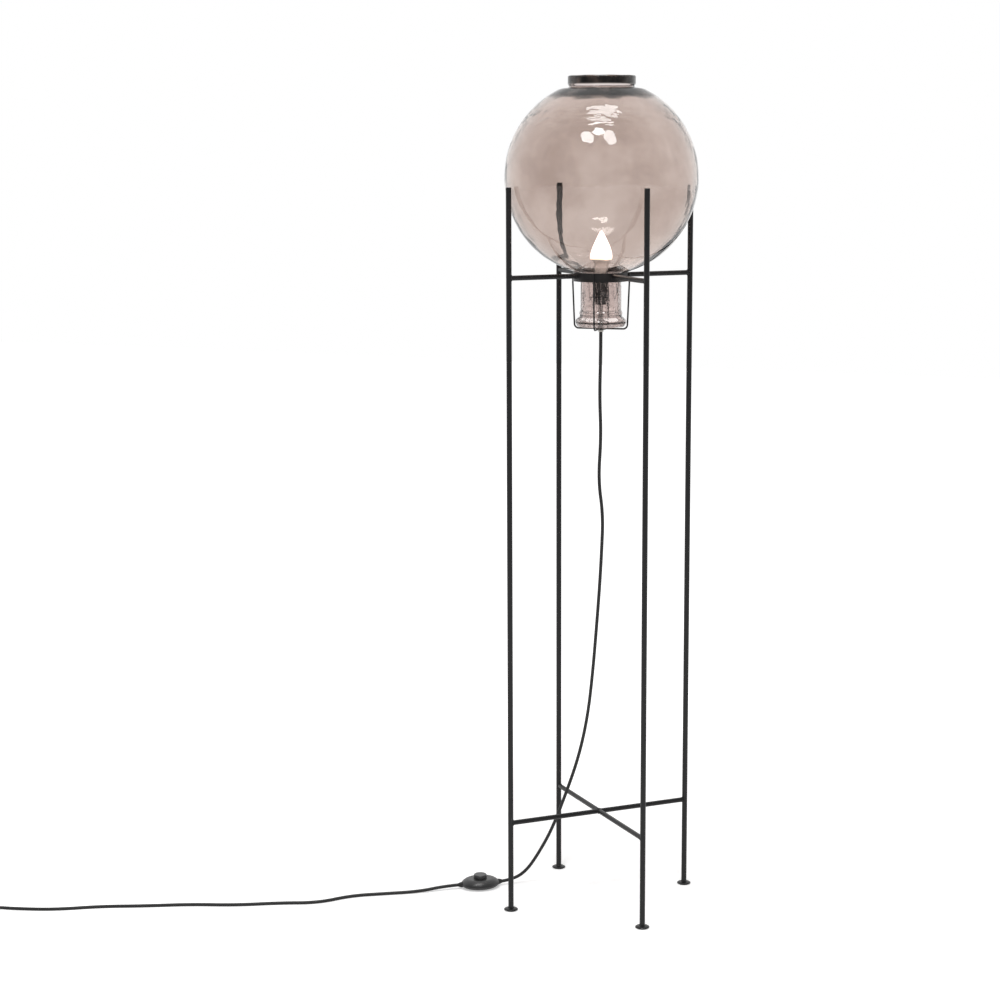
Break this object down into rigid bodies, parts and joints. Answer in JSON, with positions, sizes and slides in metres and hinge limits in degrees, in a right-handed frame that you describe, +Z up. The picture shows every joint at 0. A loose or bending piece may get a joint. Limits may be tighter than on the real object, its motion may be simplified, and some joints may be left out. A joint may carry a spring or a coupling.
{
  "type": "globe floor lamp",
  "caption": "Floor lamp: a smoked glass globe resting on a ring in a slender square stand of round bars, with a bulb in its neck, a foot switch in the cord and a flat plug.",
  "frame": {"origin": "on the floor at the centre of the four feet", "axes": "+Z up, +X to the right and +Y to the back; the feet stand on the diagonals of the square, and the cord leaves towards -X"},
  "size_m": [1.3149, 0.7159, 1.5301],
  "materials": {
    "black_steel": "satin black powder coat",
    "felt": "black felt glide",
    "zinc_steel": "zinc plated",
    "pale_nylon": "natural nylon",
    "black_plastic": "moulded, fine grain",
    "white_ceramic": "glazed insulating body",
    "brass": "plain brass",
    "nickel": "nickel plated",
    "switch_plastic": "moulded, semi-gloss",
    "spring_steel": "spring wire",
    "rubber_pad": "soft pad",
    "black_rubber": "matte",
    "black_cord": "round sheathed cord, matte",
    "white_plastic": "moulded white",
    "frosted_dome": "frosted, lit",
    "aluminium_plate": "plain",
    "led_phosphor": "yellow phosphor",
    "smoked_glass": "mouth-blown, smoked rose-brown"
  },
  "bodies": {
    "stand": {"leg_front_left": "black_steel", "foot_front_left": "black_steel", "foot_pad_front_left": "felt", "arm_front_left": "black_steel", "leg_front_right": "black_steel", "foot_front_right": "black_steel", "foot_pad_front_right": "felt", "arm_front_right": "black_steel", "leg_back_right": "black_steel", "foot_back_right": "black_steel", "foot_pad_back_right": "felt", "arm_back_right": "black_steel", "leg_back_left": "black_steel", "foot_back_left": "black_steel", "foot_pad_back_left": "felt", "arm_back_left": "black_steel", "brace_through_bar": "black_steel", "brace_half_front_left": "black_steel", "brace_half_back_right": "black_steel", "support_ring": "black_steel", "cage_wire_left": "black_steel", "cage_wire_front": "black_steel", "cage_wire_right": "black_steel", "cage_wire_back": "black_steel", "cage_boss": "black_steel", "stem_pipe": "zinc_steel", "stem_locknut": "zinc_steel", "cord_bush": "pale_nylon", "holder_cap": "black_plastic", "holder_sleeve": "black_plastic", "holder_insulator": "white_ceramic", "holder_terminals": "brass", "holder_contact": "brass", "holder_screw_shell": "nickel", "switch_base": "switch_plastic", "switch_cover": "switch_plastic", "switch_spring": "spring_steel", "switch_contact_block": "white_ceramic", "switch_terminals": "brass", "switch_screws": "zinc_steel", "switch_pads": "rubber_pad", "switch_gland_in": "black_rubber", "switch_gland_out": "black_rubber", "cord_upper": "black_cord", "cord_lower": "black_cord", "plug_relief": "black_plastic", "plug_body": "black_plastic", "plug_pins": "nickel", "plug_pin_sleeves": "black_plastic"},
    "globe": {"globe_glass": "smoked_glass"},
    "bulb": {"bulb_tip": "nickel", "bulb_cap_insulator": "black_plastic", "bulb_cap": "nickel", "bulb_body": "white_plastic", "bulb_dome": "frosted_dome", "bulb_led_plate": "aluminium_plate", "bulb_led_chips": "led_phosphor"},
    "foot_button": {"switch_button": "switch_plastic"}
  },
  "joints": [
    {"name": "globe_lift", "type": "slide", "parent": "stand", "child": "globe", "axis": [0, 0, 1], "range_m": [0, 0.18]},
    {"name": "bulb_out", "type": "slide", "parent": "stand", "child": "bulb", "axis": [0, 0, 1], "range_m": [0, 0.026]},
    {"name": "foot_button_press", "type": "slide", "parent": "stand", "child": "foot_button", "axis": [0, 0, -1], "range_m": [0, 0.003], "stiffness_N_per_m": 600, "deforming": ["switch_spring"]}
  ]
}
